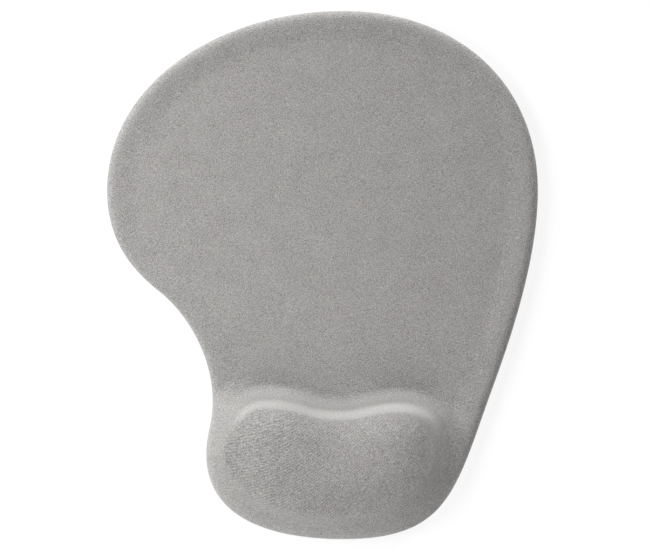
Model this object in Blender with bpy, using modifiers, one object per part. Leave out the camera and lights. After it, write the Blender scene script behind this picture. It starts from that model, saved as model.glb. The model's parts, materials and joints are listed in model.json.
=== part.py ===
"""Mouse pad with a gel-filled wrist rest, built layer by layer.

Run with: blender --background --python part.py, or from the text editor.
Metres, +Z up. +Y points away from the user and +X to the right. The origin is
on the table, under the middle of the pad's bounding box.
"""
import math

import bmesh
import bpy
from mathutils import Vector

MM = 0.001

# ---- driving dimensions, in millimetres ------------------------------------
LENGTH = 250.0            # pad, front to back
WIDTH = 204.0             # pad, left to right
REST_TOP = 22.0           # crown of the wrist rest above the table
PAD_TOP = 6.4             # tracking surface above the table
LIP_RISE = 0.6            # raised rim above the tracking surface
FABRIC = 0.75             # knit cover
GRIP = 1.2                # non-slip base sheet
BOARD = 1.5               # carrier board, where it is flat
ADHESIVE = 0.15           # die-cut adhesive films
POUCH_FILM = 0.4          # gel pouch films
GAP = 0.2                 # clear space between stacked layers
COVER_SLACK = 0.05        # extra clear space under the curved cover
SIDE_GAP = 0.3            # clear space between neighbours side by side

RIM_ROLL = 3.5            # plan width of the rounded rim, edge to crest
LIP_WIDTH = 1.5           # plan width of the slope from the crest inwards
KERB_FLAT = 1.0           # flat inside the kerb's own slope
HEM_WIDTH = 13.0          # edge of the pad to the cut edge of the hem
GRIP_INSET = 4.5          # edge of the pad to the edge of the grip sheet
ADHESIVE_INSET = 15.0     # edge of the pad to the edge of the base adhesive
NOTCH_GAP = 0.6           # panel foam to the foot of the wrist rest, at the back
NOTCH_SPREAD = 3.0        # how much wider the notch is at the rest's two ends
FLANGE = 2.0              # weld flange round the gel pouch
BED_TOP = 9.0             # top of the foam block under the pouch

POINTS_PER_CURVE = 8      # outline points between two neighbouring anchors
REST_POINTS_PER_CURVE = 7
ROLL_STEPS = 3            # rings on each half of the rounded rim
WELD = 0.01               # caps and sides closer than this are welded

# ---- heights that follow, bottom to top ------------------------------------
BASE_ADHESIVE_Z = GRIP + GAP
HEM_Z = GRIP + SIDE_GAP                         # underside of the turned hem
BOARD_Z = BASE_ADHESIVE_Z + ADHESIVE + GAP
BOARD_TOP = BOARD_Z + BOARD
KERB_Z = HEM_Z + FABRIC + GAP                   # underside of the kerb, over the hem
PANEL_ADHESIVE_Z = BOARD_TOP + GAP
PANEL_FOAM_Z = PANEL_ADHESIVE_Z + ADHESIVE + GAP
PANEL_FOAM_TOP = PAD_TOP - FABRIC - GAP
LIP_TOP = PAD_TOP + LIP_RISE
POUCH_Z = BED_TOP + GAP
GEL_Z = POUCH_Z + POUCH_FILM + GAP
COVER_DEPTH = FABRIC + GAP + COVER_SLACK        # cover's outside to what it wraps

# ---- plan outlines ----------------------------------------------------------
# Each anchor is x, y, heading in degrees, handle before it, handle after it.
# They run clockwise seen from above.
PAD_ANCHORS = (
    (10.0, LENGTH / 2, 0, 60, 55),              # back crown
    (WIDTH / 2, 40.0, -90, 50, 35),             # widest point, right
    (80.0, -55.0, -110, 20, 50),                # right flank
    (10.0, -LENGTH / 2, 180, 50, 35),           # front
    (-55.0, -85.0, 90, 30, 10),                 # left of the wrist rest
    (-52.0, -60.0, 90, 10, 25),                 # waist
    (-77.0, -8.0, 142, 12, 15),                 # where the waist turns outwards
    (-WIDTH / 2, 40.0, 90, 25, 50),             # widest point, left
)
# The wrist rest's outline half-way up its wall: two lobes with a dip between.
REST_ANCHORS = (
    (-26.0, -60.3, 0, 13, 14),                  # left lobe
    (7.0, -65.8, 0, 13, 12),                    # dip between the lobes
    (36.0, -61.9, 0, 12, 13),                   # right lobe
    (57.0, -85.0, -90, 16, 15),                 # right end
    (6.0, -114.5, 180, 28, 27),                 # front
    (-44.5, -85.0, 90, 16, 14),                 # left end
)

# Wall of the wrist rest: fraction of its plan width from the foot, and
# fraction of its rise. A gentle ramp at the foot, a steep face, a roll-over.
REST_WALL = ((0.0, 0.0), (0.28, 0.17), (0.42, 0.50), (0.54, 0.75), (0.74, 0.92), (1.0, 1.0))
WALL_WIDTH_BACK = 13.0    # plan width of the wall on the side of the pad
WALL_WIDTH_FRONT = 9.0    # and at the front and the ends, where it meets the rim
CROWN_DROP = 0.6          # the top of the wall sits this far under the crown
CROWN_INSET = 7.0         # top of the wall to the flat of the crown
WALL_FOOT_LIFT = 0.1      # the wall's lowest ring, above the layer it stands on


def heading(degrees):
    """Unit vector in plan for a heading."""
    return Vector((math.cos(math.radians(degrees)), math.sin(math.radians(degrees))))


def bezier_loop(anchors, steps):
    """Points and outward normals round a closed loop of Bezier anchors."""
    loop = []
    for index, (x0, y0, turn0, _, after) in enumerate(anchors):
        x3, y3, turn3, before, _ = anchors[(index + 1) % len(anchors)]
        p0 = Vector((x0, y0))
        p3 = Vector((x3, y3))
        p1 = p0 + after * heading(turn0)
        p2 = p3 - before * heading(turn3)
        for step in range(steps):
            t = step / steps
            u = 1 - t
            point = u ** 3 * p0 + 3 * u * u * t * p1 + 3 * u * t * t * p2 + t ** 3 * p3
            along = u * u * (p1 - p0) + 2 * u * t * (p2 - p1) + t * t * (p3 - p2)
            along.normalize()
            loop.append((point, Vector((-along.y, along.x))))
    return loop


PAD_LOOP = bezier_loop(PAD_ANCHORS, POINTS_PER_CURVE)
REST_LOOP = bezier_loop(REST_ANCHORS, REST_POINTS_PER_CURVE)


def pad_ring(inset, z):
    """The pad's outline moved in by inset, at height z."""
    return [Vector((p.x - n.x * inset, p.y - n.y * inset, z)) for p, n in PAD_LOOP]


def wall_width(normal):
    """Plan width of the wrist rest's wall, wider towards the back."""
    back = min(1.0, max(0.0, normal.y))
    back = back * back * (3 - 2 * back)
    return WALL_WIDTH_FRONT + (WALL_WIDTH_BACK - WALL_WIDTH_FRONT) * back


def rest_ring(across, z, inset=0.0):
    """A ring of the wrist rest: across is 0 at the wall's foot and 1 at its top."""
    ring = []
    for point, normal in REST_LOOP:
        move = (0.5 - across) * wall_width(normal) - inset
        ring.append(Vector((point.x + normal.x * move, point.y + normal.y * move, z)))
    return ring


def wall_z(rise):
    """Height of the cover's outside at a fraction of the wall's rise."""
    return PAD_TOP + rise * (REST_TOP - CROWN_DROP - PAD_TOP)


def across_at(z):
    """How far across the wall the cover's outside reaches height z."""
    for (a0, r0), (a1, r1) in zip(REST_WALL, REST_WALL[1:]):
        if wall_z(r1) >= z:
            return a0 + (a1 - a0) * max(0.0, z - wall_z(r0)) / (wall_z(r1) - wall_z(r0))
    return 1.0


def dome_rings(depth, floor_z, side=0.0):
    """Rings of the wrist rest's wall and crown, sunk by depth, from floor_z up.

    Moving a wall both in and down by the same depth keeps at least that depth
    between the two walls, whatever the slope. side moves it further in.
    """
    inset = depth + side
    rings = [rest_ring(across_at(floor_z + depth), floor_z, inset)]
    for across, rise in REST_WALL:
        z = wall_z(rise) - depth
        if z > floor_z + WALL_FOOT_LIFT:
            rings.append(rest_ring(across, z, inset))
    rings.append(rest_ring(1.0, REST_TOP - depth, inset + CROWN_INSET))
    return rings


def rim_section(depth):
    """Inset and height of the rounded rim, from under the hem up to its crest.

    The outside is a half ellipse. depth moves it in along its own normal.
    """
    half_height = (LIP_TOP - HEM_Z) / 2
    middle = HEM_Z + half_height
    section = []
    for step in range(2 * ROLL_STEPS + 1):
        turn = math.pi / 2 * (step / ROLL_STEPS - 1)
        nx = half_height * math.cos(turn)
        nz = RIM_ROLL * math.sin(turn)
        scale = depth / math.hypot(nx, nz)
        inset = RIM_ROLL * (1 - math.cos(turn)) + nx * scale
        section.append((inset, middle + half_height * math.sin(turn) - nz * scale))
    return section


# ---- materials --------------------------------------------------------------
MATERIALS = {
    "knit_grey": ((0.33, 0.32, 0.31, 1.0), 0.92),
    "foam_grey": ((0.12, 0.12, 0.125, 1.0), 0.85),
    "foam_white": ((0.72, 0.71, 0.68, 1.0), 0.85),
    "carrier": ((0.06, 0.06, 0.065, 1.0), 0.55),
    "grip_black": ((0.02, 0.02, 0.022, 1.0), 0.75),
    "adhesive": ((0.72, 0.66, 0.50, 1.0), 0.30),
    "clear_film": ((0.75, 0.78, 0.80, 1.0), 0.15),
    "gel": ((0.45, 0.62, 0.78, 1.0), 0.20),
}


def material(name):
    """The Principled material of that name, made once."""
    if name in bpy.data.materials:
        return bpy.data.materials[name]
    made = bpy.data.materials.new(name)
    made.use_nodes = True
    shader = made.node_tree.nodes["Principled BSDF"]
    colour, roughness = MATERIALS[name]
    shader.inputs["Base Color"].default_value = colour
    shader.inputs["Roughness"].default_value = roughness
    shader.inputs["Metallic"].default_value = 0.0
    made.diffuse_color = colour
    return made


# ---- building blocks --------------------------------------------------------
def add_part(name, data, finish, parts):
    """Link a new object for one piece, with its material."""
    part = bpy.data.objects.new(name, data)
    data.materials.append(material(finish))
    parts.objects.link(part)
    return part


def flat_part(name, outline, z, thickness, finish, parts):
    """A flat sheet cut to one outline."""
    curve = bpy.data.curves.new(name, "CURVE")
    curve.dimensions = "2D"
    curve.fill_mode = "BOTH"
    curve.extrude = thickness / 2 * MM
    spline = curve.splines.new("POLY")
    spline.points.add(len(outline) - 1)
    for point, corner in zip(spline.points, outline):
        point.co = (corner.x * MM, corner.y * MM, 0.0, 1.0)
    spline.use_cyclic_u = True
    part = add_part(name, curve, finish, parts)
    part.location.z = (z + thickness / 2) * MM
    return part


def as_mesh(part):
    """Replace a flat curve with the closed mesh it draws, so it can be cut."""
    name = part.name
    bpy.context.view_layer.update()
    data = bpy.data.meshes.new_from_object(part.evaluated_get(bpy.context.evaluated_depsgraph_get()))
    mesh = bmesh.new()
    mesh.from_mesh(data)
    bmesh.ops.remove_doubles(mesh, verts=mesh.verts, dist=WELD * MM)
    bmesh.ops.recalc_face_normals(mesh, faces=mesh.faces)
    mesh.to_mesh(data)
    mesh.free()
    solid = bpy.data.objects.new(name, data)
    solid.matrix_world = part.matrix_world
    part.users_collection[0].objects.link(solid)
    bpy.data.objects.remove(part, do_unlink=True)
    solid.name = name
    data.name = name
    return solid


def add_ring(mesh, ring):
    """The vertices of one ring."""
    return [mesh.verts.new(corner * MM) for corner in ring]


def bridge(mesh, lower, upper):
    """Quads between two rings with the same number of vertices."""
    count = len(lower)
    for i in range(count):
        j = (i + 1) % count
        mesh.faces.new((lower[i], upper[i], upper[j], lower[j]))


def loft(mesh, rings):
    """Quads through a list of rings; returns the first and last ring."""
    rows = [add_ring(mesh, ring) for ring in rings]
    for lower, upper in zip(rows, rows[1:]):
        bridge(mesh, lower, upper)
    return rows[0], rows[-1]


def finish_mesh(name, mesh, finish, parts):
    """Turn a bmesh into a smooth-shaded object for one piece."""
    bmesh.ops.recalc_face_normals(mesh, faces=mesh.faces)
    data = bpy.data.meshes.new(name)
    mesh.to_mesh(data)
    mesh.free()
    data.shade_smooth()
    data.set_sharp_from_angle(angle=math.radians(40))
    return add_part(name, data, finish, parts)


def solid_loft(name, rings, finish, parts):
    """A closed solid through the rings, with a flat face on each end."""
    mesh = bmesh.new()
    bottom, top = loft(mesh, rings)
    mesh.faces.new(bottom)
    mesh.faces.new(list(reversed(top)))
    return finish_mesh(name, mesh, finish, parts)


# ---- the pieces -------------------------------------------------------------
def build_grip_sheet(parts):
    """Non-slip base sheet, which covers the hem's cut edge."""
    outline = pad_ring(GRIP_INSET, 0)
    flat_part("grip_sheet", outline, 0, GRIP, "grip_black", parts)


def build_base_adhesive(parts):
    """Film that bonds the grip sheet to the carrier, inside the hem."""
    outline = pad_ring(ADHESIVE_INSET, 0)
    flat_part("base_adhesive", outline, BASE_ADHESIVE_Z, ADHESIVE, "adhesive", parts)


def build_core_board(parts):
    """Carrier board: a flat plate, stepped up over the hem, with a rounded kerb.

    Returns the inset of the kerb's inner side, which the layers above fit in.
    """
    step_inset = HEM_WIDTH + SIDE_GAP
    rim = [point for point in rim_section(COVER_DEPTH) if point[1] > KERB_Z]
    crest_inset, crest_z = rim[-1]
    kerb_inner = crest_inset + LIP_WIDTH + KERB_FLAT
    kerb_low = PAD_TOP - FABRIC - SIDE_GAP
    rings = [
        pad_ring(step_inset, BOARD_Z),
        pad_ring(step_inset, KERB_Z),
        pad_ring(crest_inset, KERB_Z),
    ]
    rings += [pad_ring(inset, z) for inset, z in rim]
    rings += [
        pad_ring(crest_inset + LIP_WIDTH, kerb_low),
        pad_ring(kerb_inner, kerb_low),
        pad_ring(kerb_inner, BOARD_TOP),
    ]
    solid_loft("core_board", rings, "carrier", parts)
    return kerb_inner


def notch_ring():
    """Outline of the notch that the wrist rest stands in, open at the front."""
    ring = []
    for corner, (_, normal) in zip(rest_ring(0.0, 0), REST_LOOP):
        move = NOTCH_GAP + NOTCH_SPREAD * (1 - normal.y)
        ring.append(Vector((corner.x + normal.x * move, corner.y + normal.y * move, 0)))
    return ring


def build_panel_layers(kerb_inner, parts, cutters):
    """Adhesive film inside the kerb, and the foam, notched for the wrist rest."""
    outline = pad_ring(kerb_inner + SIDE_GAP, 0)
    flat_part("panel_adhesive", outline, PANEL_ADHESIVE_Z, ADHESIVE, "adhesive", parts)

    height = PANEL_FOAM_TOP - PANEL_FOAM_Z
    foam = as_mesh(flat_part("panel_foam", outline, PANEL_FOAM_Z, height, "foam_grey", parts))
    notch = as_mesh(flat_part("rest_notch", notch_ring(), PANEL_FOAM_Z - height,
                              3 * height, "foam_grey", cutters))
    notch.hide_render = True
    notch.display_type = "WIRE"
    cut = foam.modifiers.new("rest_notch", "BOOLEAN")
    cut.operation = "DIFFERENCE"
    cut.object = notch


def build_rest_foam_bed(parts):
    """Foam block that stands in the panel foam's cut-out, under the pouch."""
    foot = rest_ring(0.0, PANEL_FOAM_Z, COVER_DEPTH)
    shoulder = rest_ring(across_at(BED_TOP + COVER_DEPTH), BED_TOP, COVER_DEPTH)
    rings = [foot, rest_ring(0.0, PAD_TOP - COVER_DEPTH, COVER_DEPTH), shoulder]
    solid_loft("rest_foam_bed", rings, "foam_white", parts)


def build_gel_pouch(parts):
    """Flat bottom film, formed top film with a weld flange, and the gel."""
    flange = rest_ring(across_at(POUCH_Z + POUCH_FILM + COVER_DEPTH), 0, COVER_DEPTH)
    flat_part("gel_pouch_bottom_film", flange, POUCH_Z, POUCH_FILM, "clear_film", parts)

    outer = dome_rings(COVER_DEPTH, GEL_Z + POUCH_FILM, FLANGE)
    inner = dome_rings(COVER_DEPTH + POUCH_FILM, GEL_Z, FLANGE)
    edge = across_at(GEL_Z + POUCH_FILM + COVER_DEPTH)
    flange_rings = [
        rest_ring(edge, GEL_Z, COVER_DEPTH),
        rest_ring(edge, GEL_Z + POUCH_FILM, COVER_DEPTH),
    ]
    mesh = bmesh.new()
    inside, outside = loft(mesh, list(reversed(inner)) + flange_rings + outer)
    mesh.faces.new(inside)
    mesh.faces.new(list(reversed(outside)))
    finish_mesh("gel_pouch_top_film", mesh, "clear_film", parts)

    gel_rings = dome_rings(COVER_DEPTH + POUCH_FILM + GAP, GEL_Z, FLANGE)
    solid_loft("gel_fill", gel_rings, "gel", parts)


def build_fabric_cover(parts):
    """Knit cover: hem, rounded rim, tracking surface and wrist rest in one skin."""
    rim = rim_section(0.0)
    skin = [pad_ring(HEM_WIDTH, HEM_Z)]
    skin += [pad_ring(inset, z) for inset, z in rim]
    skin.append(pad_ring(RIM_ROLL + LIP_WIDTH, PAD_TOP))

    mesh = bmesh.new()
    _, panel_edge = loft(mesh, skin)
    wall = [rest_ring(across, wall_z(rise)) for across, rise in REST_WALL]
    wall.append(rest_ring(1.0, REST_TOP, CROWN_INSET))
    foot, crown = loft(mesh, wall)
    mesh.faces.new(list(reversed(crown)))

    border = []
    for ring in (panel_edge, foot):
        for i, corner in enumerate(ring):
            border.append(mesh.edges.get((corner, ring[(i + 1) % len(ring)])))
    bmesh.ops.triangle_fill(mesh, edges=border, use_beauty=True, normal=(0, 0, 1))

    cover = finish_mesh("fabric_cover", mesh, "knit_grey", parts)
    shell = cover.modifiers.new("knit_thickness", "SOLIDIFY")
    shell.thickness = FABRIC * MM
    shell.offset = -1.0
    shell.use_even_offset = True


def main():
    """Clear the scene and build every piece in one collection."""
    for old in list(bpy.data.objects):
        bpy.data.objects.remove(old, do_unlink=True)
    parts = bpy.data.collections.new("wrist_rest_pad")
    cutters = bpy.data.collections.new("cutters")
    for group in (parts, cutters):
        bpy.context.scene.collection.children.link(group)

    build_grip_sheet(parts)
    build_base_adhesive(parts)
    kerb_inner = build_core_board(parts)
    build_panel_layers(kerb_inner, parts, cutters)
    build_rest_foam_bed(parts)
    build_gel_pouch(parts)
    build_fabric_cover(parts)


main()
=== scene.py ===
"""Looks of the knit-covered mouse pad with a gel wrist rest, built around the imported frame.

Every length below is in millimetres until a mesh is made. The outline and the
wrist rest's contour are the same Bezier anchors as in the CAD source.
"""

import math

import bmesh
import bpy
import numpy as np
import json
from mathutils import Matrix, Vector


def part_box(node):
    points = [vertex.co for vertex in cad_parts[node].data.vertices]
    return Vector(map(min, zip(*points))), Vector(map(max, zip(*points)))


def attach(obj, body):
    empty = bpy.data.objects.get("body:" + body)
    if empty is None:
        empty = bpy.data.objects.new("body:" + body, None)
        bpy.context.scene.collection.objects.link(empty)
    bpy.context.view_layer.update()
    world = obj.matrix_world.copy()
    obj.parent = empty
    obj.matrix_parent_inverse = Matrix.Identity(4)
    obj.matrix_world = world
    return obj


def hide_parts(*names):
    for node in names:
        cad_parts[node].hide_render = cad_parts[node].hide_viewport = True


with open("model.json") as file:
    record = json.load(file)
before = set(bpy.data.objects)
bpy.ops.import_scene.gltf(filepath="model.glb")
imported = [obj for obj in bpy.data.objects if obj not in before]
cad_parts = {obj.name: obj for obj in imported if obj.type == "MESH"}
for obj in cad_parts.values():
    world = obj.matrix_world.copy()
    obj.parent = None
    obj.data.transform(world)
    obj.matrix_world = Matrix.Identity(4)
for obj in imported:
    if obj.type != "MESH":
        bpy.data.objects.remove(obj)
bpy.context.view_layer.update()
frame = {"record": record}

MM = 0.001

# ---- sizes read from the frame ----------------------------------------------


def box_mm(node):
    """Lowest and highest corner of a CAD node, in millimetres."""
    low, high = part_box(node)
    return np.array(low) / MM, np.array(high) / MM


def mount_z(name):
    """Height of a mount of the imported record, in millimetres."""
    return next(m["pos_m"][2] for m in frame["record"]["mounts"] if m["name"] == name) / MM


COVER_LOW, COVER_HIGH = box_mm("fabric_cover")
HALF_WIDTH, HALF_LENGTH = COVER_HIGH[0], COVER_HIGH[1]
HEM_Z, REST_TOP = COVER_LOW[2], COVER_HIGH[2]
PAD_TOP = mount_z("tracking_surface")
GRIP_TOP = box_mm("grip_sheet")[1][2]
GRIP_INSET = HALF_WIDTH - box_mm("grip_sheet")[1][0]
BASE_GLUE_Z, BASE_GLUE_TOP = box_mm("base_adhesive")[0][2], box_mm("base_adhesive")[1][2]
BASE_GLUE_INSET = HALF_WIDTH - box_mm("base_adhesive")[1][0]
BOARD_Z = box_mm("core_board")[0][2]
PANEL_GLUE_Z, PANEL_GLUE_TOP = box_mm("panel_adhesive")[0][2], box_mm("panel_adhesive")[1][2]
PANEL_FOAM_Z, PANEL_FOAM_TOP = box_mm("panel_foam")[0][2], box_mm("panel_foam")[1][2]
BED_TOP = box_mm("rest_foam_bed")[1][2]
BOTTOM_FILM_Z, BOTTOM_FILM_TOP = (box_mm("gel_pouch_bottom_film")[i][2] for i in (0, 1))
GEL_Z = box_mm("gel_fill")[0][2]

# ---- shape of the cover ------------------------------------------------------
FABRIC = 0.75             # knit thickness
GAP = 0.2                 # clear space between layers
LIP_RISE = 1.0            # rim's crest above the tracking surface
RIM_ROLL = 4.0            # edge of the pad to the rim's crest, in plan
LIP_INNER = 15.0          # edge of the pad to where the rim has levelled out
HEM_WIDTH = 13.0          # edge of the pad to the hem's cut edge
COVER_DEPTH = FABRIC + GAP + 0.05
POUCH_FILM = BOTTOM_FILM_TOP - BOTTOM_FILM_Z
FLANGE = 2.0              # weld flange round the gel pouch

# Anchors: x, y, heading in degrees, handle before, handle after; clockwise.
PAD_ANCHORS = (
    (10.0, HALF_LENGTH, 0, 60, 55),
    (HALF_WIDTH, 40.0, -90, 50, 35),
    (80.0, -55.0, -110, 20, 50),
    (10.0, -HALF_LENGTH, 180, 50, 35),
    (-55.0, -85.0, 90, 30, 10),
    (-52.0, -60.0, 90, 10, 25),
    (-77.0, -8.0, 142, 12, 15),
    (-HALF_WIDTH, 40.0, 90, 25, 50),
)
REST_ANCHORS = (
    (-26.0, -60.3, 0, 13, 14),
    (7.0, -65.8, 0, 13, 12),
    (36.0, -61.9, 0, 12, 13),
    (57.0, -85.0, -90, 16, 15),
    (6.0, -114.5, 180, 28, 27),
    (-44.5, -85.0, 90, 16, 14),
)
POLE = np.array((10.7, -11.8))                   # the pad's outline is star-shaped round it
SPINE = np.array(((-21.0, -87.0), (32.0, -87.0)))  # ridge line of the wrist rest

# How the wrist rest rises to its crown on each side, as soft steps: how far outside
# the contour a step is centred, its half width, and its share of the rise. The side
# next to the tracking surface has a ramp, a steep face and a roll-over. The other
# sides are pillow-like and reach the pad's edge.
WALL_BACK = ((5.0, 4.0, 0.22), (-0.5, 2.0, 0.44), (-4.0, 6.5, 0.34))
WALL_FRONT = ((10.0, 4.0, 0.25), (3.5, 7.0, 0.50), (-3.0, 11.0, 0.25))
WALL_LEFT = ((11.5, 4.5, 0.40), (5.5, 5.5, 0.35), (-7.0, 13.0, 0.25))
WALL_RIGHT = ((8.0, 4.0, 0.15), (-0.5, 5.0, 0.40), (-5.5, 13.0, 0.45))
RAMP_FADE = 0.07          # share that the back wall's ramp loses to its steep face
RAMP_FADE_X = (-25.0, 25.0)   # from here to here, left to right

# The crown: two lobes with a saddle between them that runs out to the front, higher
# at the back and at the right, and rounded off to the front and back.
SADDLE_DEPTH = 3.8
SADDLE_X = 8.0
SADDLE_HALF_WIDTH = 18.0
SADDLE_FRONT, SADDLE_BACK = -104.0, -66.0
CROWN_MIDDLE = (4.0, -87.0)
CROWN_RISE_BACK = 1.3 / 20
CROWN_RISE_RIGHT = 0.5 / 35
CROWN_ROUNDING = 0.8 / 20 ** 2


def heading(degrees):
    """Unit vector in plan for a heading."""
    return np.array((math.cos(math.radians(degrees)), math.sin(math.radians(degrees))))


def smooth(value, low, high):
    """0 below low, 1 above high, and a smooth step between; low may be above high."""
    t = np.clip((value - low) / (high - low), 0.0, 1.0)
    return t * t * (3 - 2 * t)


def bezier_loop(anchors, count):
    """count points at equal spacing round a closed loop of anchors, and outward normals."""
    t = np.linspace(0, 1, 200, endpoint=False)[:, None]
    pieces = []
    for index, (x0, y0, turn0, _, after) in enumerate(anchors):
        x3, y3, turn3, before, _ = anchors[(index + 1) % len(anchors)]
        p0, p3 = np.array((x0, y0)), np.array((x3, y3))
        p1, p2 = p0 + after * heading(turn0), p3 - before * heading(turn3)
        u = 1 - t
        pieces.append(u ** 3 * p0 + 3 * u ** 2 * t * p1 + 3 * u * t * t * p2 + t ** 3 * p3)
    dense = np.concatenate(pieces)
    closed = np.vstack((dense, dense[:1]))
    length = np.concatenate(([0], np.cumsum(np.linalg.norm(np.diff(closed, axis=0), axis=1))))
    at = np.linspace(0, length[-1], count, endpoint=False)
    points = np.stack([np.interp(at, length, closed[:, axis]) for axis in (0, 1)], 1)
    along = np.roll(points, -1, 0) - np.roll(points, 1, 0)
    along /= np.linalg.norm(along, axis=1)[:, None]
    return points, np.stack((-along[:, 1], along[:, 0]), 1)


AROUND = 840
PAD_LOOP, PAD_NORMAL = bezier_loop(PAD_ANCHORS, AROUND)
REST_AROUND = 480
REST_LOOP, REST_NORMAL = bezier_loop(REST_ANCHORS, REST_AROUND)


REST_BACK_LIMIT = -35.0   # the wrist rest has no effect behind this
GRID_X, GRID_Y = (-100.0, 100.0), (-130.0, -34.0)   # plan area of the grid of rise
GRID_STEP = 0.5
# Creases are smoothed from the first distance inside the contour, and fully at the second.
CREASE_INSIDE = (-2.0, -9.0)
CREASE_PASSES = 120                     # binomial smoothing passes, about 4 mm


def rest_distance(xy):
    """Distance of points outside the rest's mid contour, and the nearest outward normal."""
    distance, normal = np.full(len(xy), 99.0), np.zeros((len(xy), 2))
    close = np.flatnonzero(xy[:, 1] < REST_BACK_LIMIT)
    for some in np.array_split(close, len(close) // 4096 + 1):
        gap = xy[some][:, None, :] - REST_LOOP[None]
        square = (gap ** 2).sum(2)
        near = square.argmin(1)
        rows = np.arange(len(some))
        length = np.sqrt(square[rows, near])
        across = (gap[rows, near] * REST_NORMAL[near]).sum(1)
        distance[some] = np.where(length < 3, across, np.sign(across) * length)
        normal[some] = REST_NORMAL[near]
    return distance, normal


def raw_rise(xy):
    """Share of the rise from the nearest wall alone, with creases where two walls are equally near."""
    distance, normal = rest_distance(xy)
    nx, ny = normal[:, 0], normal[:, 1]
    sides = (
        (WALL_BACK, np.maximum(ny, 0)), (WALL_FRONT, np.maximum(-ny, 0)),
        (WALL_LEFT, np.maximum(-nx, 0)), (WALL_RIGHT, np.maximum(nx, 0)),
    )
    rise = sum(facing ** 2 * wall_rise(wall, distance) for wall, facing in sides)
    ramp, face = (smooth(distance, centre + half, centre - half) for centre, half, _ in WALL_BACK[:2])
    faded = RAMP_FADE * smooth(xy[:, 0], *RAMP_FADE_X)
    rise += np.maximum(ny, 0) ** 2 * faded * (face - ramp)
    return rise, smooth(distance, *CREASE_INSIDE)


def wall_rise(wall, distance):
    """Share of the rise at a distance outside the contour."""
    return sum(share * smooth(distance, centre + half, centre - half) for centre, half, share in wall)


def rise_grid():
    """Rise over a grid of plan points, with the inner creases smoothed away."""
    x = np.arange(GRID_X[0], GRID_X[1] + GRID_STEP / 2, GRID_STEP)
    y = np.arange(GRID_Y[0], GRID_Y[1] + GRID_STEP / 2, GRID_STEP)
    across, along = np.meshgrid(x, y)
    rise, inside = raw_rise(np.column_stack((across.ravel(), along.ravel())))
    rise, inside = rise.reshape(across.shape), inside.reshape(across.shape)
    level = rise.copy()
    for _ in range(CREASE_PASSES):
        level[1:-1] = (level[:-2] + 2 * level[1:-1] + level[2:]) / 4
        level[:, 1:-1] = (level[:, :-2] + 2 * level[:, 1:-1] + level[:, 2:]) / 4
    return rise + (level - rise) * inside


RISE_GRID = rise_grid()


def rest_rise(xy):
    """Share of the wrist rest's rise at points in plan: 0 on the pad, 1 on the crown."""
    rows, columns = RISE_GRID.shape
    column = np.clip((xy[:, 0] - GRID_X[0]) / GRID_STEP, 0, columns - 1.001)
    row = np.clip((xy[:, 1] - GRID_Y[0]) / GRID_STEP, 0, rows - 1.001)
    left, low = column.astype(int), row.astype(int)
    s, t = column - left, row - low
    near = RISE_GRID[low, left] * (1 - s) + RISE_GRID[low, left + 1] * s
    far = RISE_GRID[low + 1, left] * (1 - s) + RISE_GRID[low + 1, left + 1] * s
    return near * (1 - t) + far * t


def crown_shape(xy):
    """Height of the crown's surface, from any level."""
    x, y = xy[:, 0], xy[:, 1]
    right, back = x - CROWN_MIDDLE[0], y - CROWN_MIDDLE[1]
    saddle = np.exp(-((x - SADDLE_X) / SADDLE_HALF_WIDTH) ** 2) * smooth(y, SADDLE_FRONT, SADDLE_BACK)
    slope = CROWN_RISE_RIGHT * right + CROWN_RISE_BACK * back
    return slope - CROWN_ROUNDING * back ** 2 - SADDLE_DEPTH * saddle


def crown_z(xy):
    """Height of the crown, whose top is the wrist rest's top."""
    return REST_TOP + crown_shape(xy) - CROWN_PEAK


def rest_z(xy):
    """Height that the wrist rest adds to the pad."""
    return rest_rise(xy) * (crown_z(xy) - PAD_TOP)


def crown_peak():
    """Highest level that the crown's surface reaches inside the wrist rest."""
    x, y = np.meshgrid(np.arange(-45.0, 56.0), np.arange(-112.0, -60.0))
    xy = np.column_stack((x.ravel(), y.ravel()))
    rise = rest_rise(xy)
    height = rise * (REST_TOP - PAD_TOP + crown_shape(xy)) - (REST_TOP - PAD_TOP)
    return height.max()


CROWN_PEAK = crown_peak()


def lip(inset):
    """Height of the raised rim above the tracking surface, inwards of its crest."""
    return LIP_RISE * (1 - smooth(inset, RIM_ROLL, LIP_INNER))


def pad_ring(inset):
    """The pad's outline moved in by inset, in plan."""
    return PAD_LOOP - inset * PAD_NORMAL


def rim_section(depth, steps, low=-90, high=90):
    """Inset and height of points round the rim's half ellipse, sunk by depth."""
    half_height = (PAD_TOP + LIP_RISE - HEM_Z) / 2
    turn = np.radians(np.linspace(low, high, steps))
    nx, nz = half_height * np.cos(turn), RIM_ROLL * np.sin(turn)
    scale = depth / np.hypot(nx, nz)
    inset = RIM_ROLL * (1 - np.cos(turn)) + nx * scale
    return list(zip(inset, HEM_Z + half_height * (1 + np.sin(turn)) - nz * scale))


# ---- mesh tools ---------------------------------------------------------------


def ring3(xy, z):
    """A ring of 3-D points from plan points and one height or one height for each."""
    return np.column_stack((xy, np.broadcast_to(z, len(xy))))


def loft_mesh(name, rings, close_first=True, close_last=True):
    """A mesh through rings of the same count, with flat faces on the asked ends."""
    count = len(rings[0])
    verts = np.concatenate(rings)
    i = np.arange(count)
    j = (i + 1) % count
    quads = np.concatenate([
        np.stack((i, i + count, j + count, j), 1) + row * count for row in range(len(rings) - 1)
    ])
    faces = quads.tolist()
    if close_first:
        faces.append(i.tolist())
    if close_last:
        faces.append((i[::-1] + (len(rings) - 1) * count).tolist())
    mesh = bpy.data.meshes.new(name)
    mesh.from_pydata((verts * MM).tolist(), [], faces)
    return mesh


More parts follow.
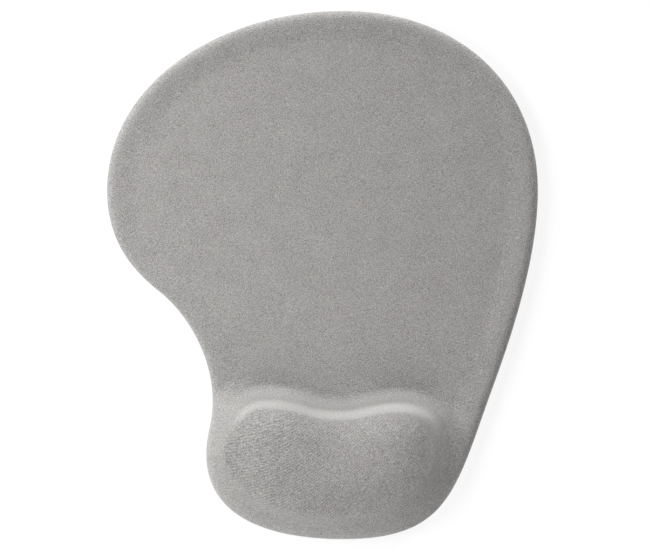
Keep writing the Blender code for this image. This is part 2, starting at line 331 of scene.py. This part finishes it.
def tidy_mesh(mesh, weld=0.002):
    """Weld what meets, drop what collapsed and point every face outwards."""
    work = bmesh.new()
    work.from_mesh(mesh)
    bmesh.ops.remove_doubles(work, verts=work.verts, dist=weld * MM)
    bmesh.ops.dissolve_degenerate(work, edges=work.edges, dist=weld * MM / 4)
    bmesh.ops.recalc_face_normals(work, faces=work.faces)
    work.to_mesh(mesh)
    work.free()


def add_piece(name, mesh, material, node, sharp=50):
    """Link a finished mesh as the piece that stands for a CAD node."""
    mesh.shade_smooth()
    mesh.set_sharp_from_angle(angle=math.radians(sharp))
    piece = bpy.data.objects.new(name, mesh)
    mesh.materials.append(material)
    bpy.context.scene.collection.objects.link(piece)
    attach(piece, "root")
    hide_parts(node)
    return piece


# ---- material tools -----------------------------------------------------------


def new_material(name):
    """A material with a Principled shader; returns it, its tree and the shader."""
    made = bpy.data.materials.new(name)
    made.use_nodes = True
    return made, made.node_tree, made.node_tree.nodes["Principled BSDF"]


def node(tree, kind, inputs=None, **settings):
    """Add a node, set its properties, and set or link its inputs."""
    made = tree.nodes.new(kind)
    for name, value in settings.items():
        setattr(made, name, value)
    for key, value in (inputs or {}).items():
        if isinstance(value, bpy.types.NodeSocket):
            tree.links.new(value, made.inputs[key])
        else:
            made.inputs[key].default_value = value
    return made


def math_node(tree, operation, a, b=0.0, clamp=False):
    """The result of a math node."""
    return node(tree, "ShaderNodeMath", {0: a, 1: b}, operation=operation, use_clamp=clamp).outputs[0]


def mix_value(tree, factor, a, b):
    """a where factor is 0 and b where it is 1."""
    return node(tree, "ShaderNodeMix", {0: factor, 2: a, 3: b}, data_type="FLOAT").outputs[0]


def mix_colour(tree, factor, a, b, blend="MIX"):
    """Two colours mixed by factor."""
    mixed = node(tree, "ShaderNodeMix", {0: factor, 6: a, 7: b}, data_type="RGBA", blend_type=blend)
    return mixed.outputs[2]


def millimetres(tree):
    """Object coordinates in millimetres."""
    place = node(tree, "ShaderNodeTexCoord").outputs["Object"]
    return node(tree, "ShaderNodeVectorMath", {0: place, "Scale": 1 / MM}, operation="SCALE").outputs[0]


def noise(tree, vector, scale, detail=2.0, roughness=0.5):
    """Fractal noise from 0 to 1."""
    inputs = {"Vector": vector, "Scale": scale, "Detail": detail, "Roughness": roughness}
    return node(tree, "ShaderNodeTexNoise", inputs).outputs["Fac"]


def cells(tree, vector, scale, randomness=1.0):
    """Distance to the nearest of scattered points."""
    inputs = {"Vector": vector, "Scale": scale, "Randomness": randomness}
    return node(tree, "ShaderNodeTexVoronoi", inputs).outputs["Distance"]


def stretch_range(tree, value, low, high, to_low=0.0, to_high=1.0):
    """value mapped from low..high to to_low..to_high, clamped."""
    inputs = {"Value": value, "From Min": low, "From Max": high, "To Min": to_low, "To Max": to_high}
    return node(tree, "ShaderNodeMapRange", inputs).outputs["Result"]


def set_bump(tree, shader, height, distance, strength=1.0):
    """Bump the shader by a height from 0 to 1, distance millimetres deep."""
    inputs = {"Height": height, "Distance": distance * MM, "Strength": strength}
    bump = node(tree, "ShaderNodeBump", inputs)
    tree.links.new(bump.outputs["Normal"], shader.inputs["Normal"])


# ---- materials ------------------------------------------------------------------
KNIT_DARK = (0.140, 0.136, 0.132, 1.0)
KNIT_LIGHT = (0.480, 0.469, 0.458, 1.0)
KNIT_WARM = (0.490, 0.466, 0.458, 1.0)
GRAIN_STRETCH = (0.95, 1.15, 1.0)   # grains are a little longer across than front to back
GRAIN = 1.9               # grains of the knit to a millimetre
RUN_GRAIN = 2.3           # and where it is stretched
RUN_PITCH = 1.4           # millimetres from run to run, where the knit is stretched
WAVE_PERIOD = 2 * math.pi / 20   # of Blender's wave texture at scale 1


def knit_material():
    """Grey stretch knit: an even crepe grain on the pad, longer drawn-out runs on the rest."""
    made, tree, shader = new_material("stretch_knit")
    place = millimetres(tree)
    stretch = node(tree, "ShaderNodeAttribute", attribute_name="stretch").outputs["Fac"]
    steep = node(tree, "ShaderNodeAttribute", attribute_name="steep").outputs["Fac"]
    run = node(tree, "ShaderNodeAttribute", attribute_name="knit_run").outputs["Vector"]

    lattice_inputs = {0: place, 1: GRAIN_STRETCH}
    lattice = node(tree, "ShaderNodeVectorMath", lattice_inputs, operation="MULTIPLY").outputs[0]
    pips = stretch_range(tree, cells(tree, lattice, GRAIN), 0.85, 0.10)
    fuzz = stretch_range(tree, noise(tree, lattice, GRAIN, 0.6), 0.28, 0.72)
    flat_grain = mix_value(tree, 0.6, pips, fuzz)
    wave_inputs = {
        "Vector": run, "Scale": WAVE_PERIOD / RUN_PITCH,
        "Distortion": 5.0, "Detail": 1.0, "Detail Scale": 4.5,
    }
    wave_node = node(tree, "ShaderNodeTexWave", wave_inputs, wave_type="BANDS", bands_direction="Y")
    wave = wave_node.outputs["Fac"]
    breaks = stretch_range(tree, noise(tree, run, RUN_GRAIN, 0.5), 0.33, 0.67)
    run_grain = mix_value(tree, 0.66, wave, breaks)
    grain = mix_value(tree, stretch, flat_grain, run_grain)
    grain = mix_value(tree, math_node(tree, "MULTIPLY", steep, 0.6), grain, 0.5)

    blotch = stretch_range(tree, noise(tree, place, 0.10, 2.0), 0.3, 0.7)
    fine = math_node(tree, "MULTIPLY", grain, 0.88)
    tone = math_node(tree, "ADD", fine, math_node(tree, "MULTIPLY", blotch, 0.06))
    colour = mix_colour(tree, tone, KNIT_DARK, KNIT_LIGHT)
    warm_patch = stretch_range(tree, noise(tree, place, 0.032, 1.0), 0.5, 0.75, 0.0, 0.3)
    colour = mix_colour(tree, warm_patch, colour, mix_colour(tree, tone, KNIT_DARK, KNIT_WARM))
    tree.links.new(colour, shader.inputs["Base Color"])
    tree.links.new(stretch_range(tree, grain, 0.0, 1.0, 0.98, 0.82), shader.inputs["Roughness"])
    shader.inputs["Specular IOR Level"].default_value = 0.25
    shader.inputs["Sheen Weight"].default_value = 0.4
    shader.inputs["Sheen Roughness"].default_value = 0.4
    set_bump(tree, shader, grain, 0.20)
    return made


def foam_material(name, dark, light, cell_size):
    """Open-cell foam: two tones of cells and small pits."""
    made, tree, shader = new_material(name)
    place = millimetres(tree)
    pits = stretch_range(tree, cells(tree, place, 1 / cell_size), 0.1, 0.8)
    patch = noise(tree, place, 0.08, 2.0)
    tone = mix_value(tree, 0.3, pits, patch)
    tree.links.new(mix_colour(tree, tone, dark, light), shader.inputs["Base Color"])
    tree.links.new(stretch_range(tree, pits, 0, 1, 0.95, 0.75), shader.inputs["Roughness"])
    shader.inputs["Specular IOR Level"].default_value = 0.25
    set_bump(tree, shader, pits, 0.12)
    return made


def moulded_material(name, dark, light, roughness, grain_size):
    """Moulded board or rubber: a fine eggshell grain with faint flow marks."""
    made, tree, shader = new_material(name)
    place = millimetres(tree)
    grain = noise(tree, place, 1 / grain_size, 3.0, 0.6)
    flow = noise(tree, place, 0.03, 3.0, 0.55)
    tone = mix_value(tree, 0.5, grain, flow)
    tree.links.new(mix_colour(tree, tone, dark, light), shader.inputs["Base Color"])
    spread = stretch_range(tree, flow, 0.3, 0.7, roughness - 0.08, roughness + 0.08)
    tree.links.new(spread, shader.inputs["Roughness"])
    set_bump(tree, shader, grain, 0.05)
    return made


def clear_material(name, thin, thick, roughness, ior):
    """Clear film, glue film or gel: tinted, faintly cloudy, mostly seen through."""
    made, tree, shader = new_material(name)
    place = millimetres(tree)
    cloud = noise(tree, place, 0.12, 3.0, 0.6)
    ripple = noise(tree, place, 0.5, 2.0)
    tree.links.new(mix_colour(tree, cloud, thin, thick), shader.inputs["Base Color"])
    spread = stretch_range(tree, cloud, 0.3, 0.7, roughness, roughness + 0.12)
    tree.links.new(spread, shader.inputs["Roughness"])
    shader.inputs["Transmission Weight"].default_value = 0.6
    shader.inputs["IOR"].default_value = ior
    set_bump(tree, shader, ripple, 0.04)
    return made


# ---- the cover --------------------------------------------------------------------
TOP_RINGS = 150           # rings from the rim to the middle of the pad
SOFT_START = 15.5         # rings follow the edge down to this inset, then close on the pole


WRINKLE_PITCH = 2.6       # fine wrinkles where the knit is pulled over the rest's left end
WRINKLE_HEIGHT = 0.10
WRINKLE_RIGHT, WRINKLE_FADE = -49.0, 9.0
WRINKLE_MIDDLE_Y, WRINKLE_HALF_SPAN = -87.0, 16.0


def wrinkle_z(xy):
    """Height of the fine level wrinkles at the left end of the wrist rest."""
    x, y = xy[:, 0], xy[:, 1]
    place = smooth(x, WRINKLE_RIGHT + WRINKLE_FADE, WRINKLE_RIGHT)
    place = place * smooth(np.abs(y - WRINKLE_MIDDLE_Y), WRINKLE_HALF_SPAN, 0.0)
    sway = 0.5 * np.sin(y / 3.1) + 0.4 * np.sin(x / 4.0 + y / 7.0)
    return WRINKLE_HEIGHT * place * np.sin(2 * np.pi * (y + sway) / WRINKLE_PITCH)


def cover_rings():
    """Rings of the cover's outside: hem, rim, and the top in to the pole."""
    rings = []
    for inset in np.linspace(HEM_WIDTH, RIM_ROLL, 7)[:-1]:
        rings.append(ring3(pad_ring(inset), HEM_Z))
    for inset, z in rim_section(0.0, 25):
        xy = pad_ring(inset)
        upper = smooth(z, (HEM_Z + PAD_TOP) / 2, PAD_TOP)
        rings.append(ring3(xy, z + upper * (rest_z(xy) + wrinkle_z(xy))))
    for inset in np.linspace(RIM_ROLL, SOFT_START, 14)[1:]:
        xy = pad_ring(inset)
        rings.append(ring3(xy, PAD_TOP + lip(inset) + rest_z(xy) + wrinkle_z(xy)))
    inner = pad_ring(SOFT_START)
    for share in np.linspace(1, 0, TOP_RINGS)[1:-1]:
        xy = POLE + (inner - POLE) * share
        rings.append(ring3(xy, PAD_TOP + rest_z(xy) + wrinkle_z(xy)))
    return rings


def build_cover(material):
    """Knit cover over everything, from the cut edge of its hem to the top."""
    mesh = loft_mesh("fabric_cover_fine", cover_rings(), close_first=False)
    tidy_mesh(mesh)
    cover = add_piece("knit_cover", mesh, material, "fabric_cover", sharp=180)
    write_knit_attributes(mesh)
    shell = cover.modifiers.new("knit_thickness", "SOLIDIFY")
    shell.thickness = FABRIC * MM
    shell.offset = -1.0
    shell.use_even_offset = True
    return cover


SMOOTH_MIDDLE = 2.0       # this far outside the back wall's contour the knit lies smoothest
SMOOTH_REACH = (8.5, 0.5)  # and this far from there its grain is back, and is still calm
RUN_ANGLE = 42.0          # on the crown the knit's runs rise to the right by this many degrees
RUN_LEVEL_X, RUN_FULL_X = -62.0, 20.0    # and turn to lie level at the rest's left end
RUN_DRAW_LEFT, RUN_DRAW = 0.50, 0.85     # width to length of a run, at the left end and elsewhere


def run_coordinates(xy):
    """Place of points along and across the knit's runs, which follow one family of curves."""
    x = np.linspace(-HALF_WIDTH, HALF_WIDTH, 800)
    turned = smooth(x, RUN_LEVEL_X, RUN_FULL_X)
    slope = np.tan(np.radians(RUN_ANGLE) * turned)
    draw = RUN_DRAW_LEFT + (RUN_DRAW - RUN_DRAW_LEFT) * turned
    along = np.cumsum(draw * np.hypot(1, slope)) * (x[1] - x[0])
    climb = np.cumsum(slope) * (x[1] - x[0])
    return np.interp(xy[:, 0], x, along), xy[:, 1] - np.interp(xy[:, 0], x, climb)


def write_knit_attributes(mesh):
    """Where the knit is stretched, where it is pulled smooth, and places along its runs."""
    co = np.empty(len(mesh.vertices) * 3, np.float32)
    mesh.vertices.foreach_get("co", co)
    co = co.reshape(-1, 3) / MM
    distance, normal = rest_distance(co[:, :2])
    on_rest = smooth(rest_rise(co[:, :2]), 0.50, 0.90)
    on_face = smooth(np.abs(distance - SMOOTH_MIDDLE), *SMOOTH_REACH) * np.maximum(normal[:, 1], 0)
    along, across = run_coordinates(co[:, :2])
    for name, values in (("stretch", on_rest), ("steep", on_face)):
        mesh.attributes.new(name, "FLOAT", "POINT").data.foreach_set("value", values.astype(np.float32))
    run = mesh.attributes.new("knit_run", "FLOAT_VECTOR", "POINT")
    vectors = np.column_stack((along, across, co[:, 2]))
    run.data.foreach_set("vector", vectors.astype(np.float32).ravel())


# ---- pieces inside the wrist rest ---------------------------------------------------
DOME_REACH = 16.0         # how far inside the contour the wall's rings go
BED_FOOT, POUCH_FOOT = 2.0, 6.5   # where their rings begin, outside the contour
DOME_RINGS = 40           # rings on the wall
DOME_INNER = 22           # rings from the wall's top to the ridge line


def dome(depth, side, start):
    """The rest's skin sunk by depth, and drawn in by side, as rings of points.

    Moving a wall both in and down by the same depth keeps that depth clear.
    """
    inset = depth + side
    rings = []
    for distance in np.linspace(start, -DOME_REACH, DOME_RINGS):
        outer = REST_LOOP + distance * REST_NORMAL
        z = PAD_TOP + rest_z(outer) - depth
        rings.append(ring3(outer - inset * REST_NORMAL, z))
    inner, outer = rings[-1][:, :2], REST_LOOP - DOME_REACH * REST_NORMAL
    ridge = np.column_stack((np.clip(inner[:, 0], *SPINE[:, 0]), np.full(REST_AROUND, SPINE[0, 1])))
    for share in np.linspace(0, 1, DOME_INNER)[1:]:
        xy = inner + (ridge - inner) * share
        z = PAD_TOP + rest_z(outer + (ridge - outer) * share) - depth
        rings.append(ring3(xy, z))
    return np.array(rings)


def from_level(rings, z, steps=36):
    """The part of a dome above height z, resampled so that its first ring is level."""
    count = len(rings)
    index = np.arange(count)
    made = np.empty((steps, rings.shape[1], 3))
    for column in range(rings.shape[1]):
        heights = np.maximum.accumulate(rings[:, column, 2])
        first = np.interp(z, heights[: DOME_RINGS], index[: DOME_RINGS])
        at = first + (count - 1 - first) * np.linspace(0, 1, steps)
        for axis in range(3):
            made[:, column, axis] = np.interp(at, index, rings[:, column, axis])
    made[0, :, 2] = z
    made[1:, :, 2] = np.maximum(made[1:, :, 2], z)
    return made


def build_rest_inside(materials):
    """Foam bed, flat film, gel and domed film, each just under the one above."""
    bed = dome(COVER_DEPTH, 0.0, BED_FOOT)
    bed[:, :, 2] = np.minimum(bed[:, :, 2], BED_TOP)
    base = ring3(bed[0][:, :2], PANEL_FOAM_Z)
    mesh = loft_mesh("rest_foam_bed_fine", [base, *bed], close_last=False)
    tidy_mesh(mesh)
    foam = add_piece("foam_bed", mesh, materials["white_foam"], "rest_foam_bed")

    under_cover = dome(COVER_DEPTH, 0.0, POUCH_FOOT)
    flange = from_level(under_cover, BOTTOM_FILM_TOP + POUCH_FILM)[0][:, :2]
    rings = [ring3(flange, BOTTOM_FILM_Z), ring3(flange, BOTTOM_FILM_TOP)]
    mesh = loft_mesh("pouch_bottom_fine", rings)
    tidy_mesh(mesh)
    add_piece("pouch_bottom", mesh, materials["film"], "gel_pouch_bottom_film")

    outer = from_level(dome(COVER_DEPTH, FLANGE, POUCH_FOOT), GEL_Z + POUCH_FILM)
    inner = from_level(dome(COVER_DEPTH + POUCH_FILM, FLANGE, POUCH_FOOT), GEL_Z)
    edge = from_level(under_cover, GEL_Z + POUCH_FILM)[0][:, :2]
    rings = [*inner[::-1], ring3(edge, GEL_Z), ring3(edge, GEL_Z + POUCH_FILM), *outer]
    mesh = loft_mesh("pouch_top_fine", rings, close_first=False, close_last=False)
    tidy_mesh(mesh)
    add_piece("pouch_top", mesh, materials["film"], "gel_pouch_top_film")

    gel = from_level(dome(COVER_DEPTH + POUCH_FILM + GAP, FLANGE, POUCH_FOOT), GEL_Z)
    mesh = loft_mesh("gel_fine", list(gel), close_last=False)
    tidy_mesh(mesh)
    add_piece("gel", mesh, materials["gel"], "gel_fill")


# ---- flat layers -------------------------------------------------------------------
SIDE_GAP = 0.3            # clear space between neighbours side by side
KERB_SLOPE = 1.6          # plan width of the kerb's inner slope
KERB_FLAT = 1.0           # flat inside that slope
NOTCH_REACH = 7.5         # contour of the wrist rest to the foot of its wall
NOTCH_GAP = 0.9           # foot of the wall to the panel foam, at the back
NOTCH_SPREAD = 3.0        # how much wider the notch is where it faces sideways


def flat_mesh(name, outline, low, high):
    """A flat sheet cut to an outline."""
    mesh = loft_mesh(name, [ring3(outline, low), ring3(outline, high)])
    tidy_mesh(mesh)
    return mesh


def build_layers(materials):
    """Carrier board with its kerb, the two glue films and the notched panel foam."""
    step = HEM_WIDTH + SIDE_GAP
    kerb_z = HEM_Z + FABRIC + GAP
    kerb_low = PANEL_FOAM_TOP - 0.1
    rim = [point for point in rim_section(COVER_DEPTH, 25) if point[1] > kerb_z]
    crest = rim[-1][0]
    kerb_inner = crest + KERB_SLOPE + KERB_FLAT
    rings = [
        ring3(pad_ring(step), BOARD_Z),
        ring3(pad_ring(step), kerb_z),
        ring3(pad_ring(crest), kerb_z),
    ]
    rings += [ring3(pad_ring(inset), z) for inset, z in rim]
    for share in (0.25, 0.5, 0.75, 1.0):
        z = rim[-1][1] + (kerb_low - rim[-1][1]) * share
        rings.append(ring3(pad_ring(crest + KERB_SLOPE * share), z))
    rings.append(ring3(pad_ring(kerb_inner), kerb_low))
    rings.append(ring3(pad_ring(kerb_inner), PANEL_GLUE_Z - GAP))
    mesh = loft_mesh("core_board_fine", rings)
    tidy_mesh(mesh)
    add_piece("carrier_board", mesh, materials["carrier"], "core_board")

    base = flat_mesh("base_glue_fine", pad_ring(BASE_GLUE_INSET), BASE_GLUE_Z, BASE_GLUE_TOP)
    add_piece("base_glue", base, materials["glue"], "base_adhesive")
    panel = flat_mesh("panel_glue_fine", pad_ring(kerb_inner + SIDE_GAP), PANEL_GLUE_Z, PANEL_GLUE_TOP)
    add_piece("panel_glue", panel, materials["glue"], "panel_adhesive")

    foam = flat_mesh("panel_foam_fine", pad_ring(kerb_inner + SIDE_GAP), PANEL_FOAM_Z, PANEL_FOAM_TOP)
    spread = NOTCH_REACH + NOTCH_GAP + NOTCH_SPREAD * (1 - REST_NORMAL[:, 1:])
    outline = REST_LOOP + spread * REST_NORMAL
    notch_mesh = flat_mesh("notch", outline, PANEL_FOAM_Z - 1, PANEL_FOAM_TOP + 1)
    notch = bpy.data.objects.new("notch", notch_mesh)
    bpy.context.scene.collection.objects.link(notch)
    piece = add_piece("surface_foam", foam, materials["grey_foam"], "panel_foam")
    cut = piece.modifiers.new("notch", "BOOLEAN")
    cut.operation = "DIFFERENCE"
    cut.object = notch
    bpy.context.view_layer.update()
    evaluated = piece.evaluated_get(bpy.context.evaluated_depsgraph_get())
    piece.data = bpy.data.meshes.new_from_object(evaluated)
    piece.modifiers.clear()
    bpy.data.objects.remove(notch)


# ---- grip sheet ----------------------------------------------------------------------
RIB_PITCH = 5.0           # rows of wavy ribs under the pad
RIB_WAVE = 11.0           # length of one wave along a rib
RIB_SWING = 1.3           # how far a wave swings to each side
RIB_DEPTH = 0.35
GRIP_BORDER = 2.5         # plain border round the ribs
GRIP_RINGS = 105


def rib_height(xy, inset):
    """0 in the grooves and 1 on the ribs and the border."""
    wave = xy[:, 1] + RIB_SWING * np.sin(2 * np.pi * xy[:, 0] / RIB_WAVE)
    rib = smooth(np.cos(2 * np.pi * wave / RIB_PITCH), -0.35, 0.35)
    return np.maximum(rib, 1 - smooth(inset, GRIP_BORDER, GRIP_BORDER + 0.8))


def build_grip_sheet(material):
    """Non-slip sheet with wavy ribs on its underside."""
    rings = [ring3(pad_ring(GRIP_INSET), GRIP_TOP), ring3(pad_ring(GRIP_INSET), 0.25)]
    edge = 0.0
    for edge in np.linspace(0.25, 4.0, 6):
        xy = pad_ring(GRIP_INSET + edge)
        z = np.zeros(AROUND) if edge < GRIP_BORDER else RIB_DEPTH * (1 - rib_height(xy, edge))
        rings.append(ring3(xy, z))
    inner = pad_ring(GRIP_INSET + edge)
    for share in np.linspace(1, 0, GRIP_RINGS)[1:-1]:
        xy = POLE + (inner - POLE) * share
        rings.append(ring3(xy, RIB_DEPTH * (1 - rib_height(xy, edge + 1))))
    mesh = loft_mesh("grip_sheet_fine", rings)
    tidy_mesh(mesh)
    return add_piece("grip_sheet_ribbed", mesh, material, "grip_sheet")


# ---- stage ----------------------------------------------------------------------------
# Soft boxes: name, azimuth and elevation in degrees, distance and diameter in metres, watts.
SOFT_BOXES = (
    ("left_near_box", 180, 45, 0.55, 0.25, 2.0),
    ("front_box", 270, 25, 0.55, 0.25, 1.3),
    ("back_left_high_box", 135, 30, 1.30, 0.50, 5.0),
    ("back_left_box", 135, 12, 1.30, 0.50, 9.0),
    ("back_box", 90, 12, 1.30, 0.50, 9.0),
    ("back_right_box", 45, 12, 1.30, 0.50, 10.0),
    ("front_left_box", 225, 12, 1.30, 0.50, 4.0),
)
WORLD_LIGHT, WORLD_SEEN = 0.03, 0.97     # strength as a light, and as the camera sees it
FLOOR_GLOW = 0.84         # keeps the floor white in the picture
CAMERA_DISTANCE = 1.6     # metres, above the height EDGE_HEIGHT
EDGE_HEIGHT = 0.004
VIEW_WIDTH = 0.3078       # what the picture is wide, at the height of the pad's edge
VIEW_SHIFT = 0.0012       # the object sits this far left of the middle


def add_light(name, location, size, power):
    """A round soft box, aimed at the middle of the pad."""
    data = bpy.data.lights.new(name, "AREA")
    data.shape = "DISK"
    data.size = size
    data.energy = power
    light = bpy.data.objects.new(name, data)
    light.location = location
    x, y, z = location
    light.rotation_euler = (math.atan2(math.hypot(x, y), z), 0.0, math.atan2(x, -y))
    bpy.context.scene.collection.objects.link(light)
    return light


def polar(azimuth, elevation, distance):
    """Point seen from the origin at an azimuth and elevation in degrees."""
    turn, up = math.radians(azimuth), math.radians(elevation)
    level = distance * math.cos(up)
    return (level * math.cos(turn), level * math.sin(turn), distance * math.sin(up))


def build_stage():
    """Pale floor, soft boxes, even surrounding light and a camera straight above."""
    data = bpy.data.meshes.new("floor")
    work = bmesh.new()
    bmesh.ops.create_grid(work, x_segments=1, y_segments=1, size=6.0)
    work.to_mesh(data)
    work.free()
    floor = bpy.data.objects.new("floor", data)
    bpy.context.scene.collection.objects.link(floor)
    paper, _, shader = new_material("pale_floor")
    shader.inputs["Base Color"].default_value = (0.18, 0.18, 0.18, 1.0)
    shader.inputs["Roughness"].default_value = 0.9
    shader.inputs["Specular IOR Level"].default_value = 0.1
    shader.inputs["Emission Color"].default_value = (1.0, 1.0, 1.0, 1.0)
    shader.inputs["Emission Strength"].default_value = FLOOR_GLOW
    data.materials.append(paper)

    for name, azimuth, elevation, distance, size, power in SOFT_BOXES:
        add_light(name, polar(azimuth, elevation, distance), size, power)

    world = bpy.data.worlds.new("studio")
    world.use_nodes = True
    bpy.context.scene.world = world
    tree = world.node_tree
    seen = node(tree, "ShaderNodeLightPath").outputs["Is Camera Ray"]
    strength = mix_value(tree, seen, WORLD_LIGHT, WORLD_SEEN)
    tree.links.new(strength, tree.nodes["Background"].inputs["Strength"])
    tree.nodes["Background"].inputs["Color"].default_value = (1.0, 1.0, 1.0, 1.0)

    view = bpy.context.scene.view_settings
    view.view_transform = "Standard"
    view.look = "None"
    view.exposure = 0.0

    lens = bpy.data.cameras.new("camera")
    lens.sensor_width = 36.0
    lens.lens = lens.sensor_width * CAMERA_DISTANCE / VIEW_WIDTH
    lens.clip_end = 20.0
    camera = bpy.data.objects.new("camera", lens)
    camera.location = (VIEW_SHIFT, 0.0, CAMERA_DISTANCE + EDGE_HEIGHT)
    bpy.context.scene.collection.objects.link(camera)
    bpy.context.scene.camera = camera


def main():
    """Build every piece around the frame."""
    materials = {
        "knit": knit_material(),
        "grey_foam": foam_material("grey_foam", (0.07, 0.07, 0.075, 1), (0.16, 0.16, 0.165, 1), 0.5),
        "white_foam": foam_material("white_foam", (0.55, 0.53, 0.48, 1), (0.80, 0.79, 0.75, 1), 0.7),
        "carrier": moulded_material(
            "moulded_board", (0.035, 0.035, 0.04, 1), (0.085, 0.085, 0.09, 1), 0.55, 0.4),
        "grip": moulded_material(
            "grip_rubber", (0.012, 0.012, 0.013, 1), (0.035, 0.035, 0.036, 1), 0.72, 0.3),
        "glue": clear_material("glue_film", (0.80, 0.74, 0.58, 1), (0.66, 0.57, 0.36, 1), 0.25, 1.48),
        "film": clear_material("clear_film", (0.88, 0.90, 0.92, 1), (0.74, 0.78, 0.82, 1), 0.08, 1.50),
        "gel": clear_material("soft_gel", (0.42, 0.64, 0.82, 1), (0.28, 0.50, 0.72, 1), 0.12, 1.41),
    }
    build_cover(materials["knit"])
    build_rest_inside(materials)
    build_layers(materials)
    build_grip_sheet(materials["grip"])
    build_stage()


main()
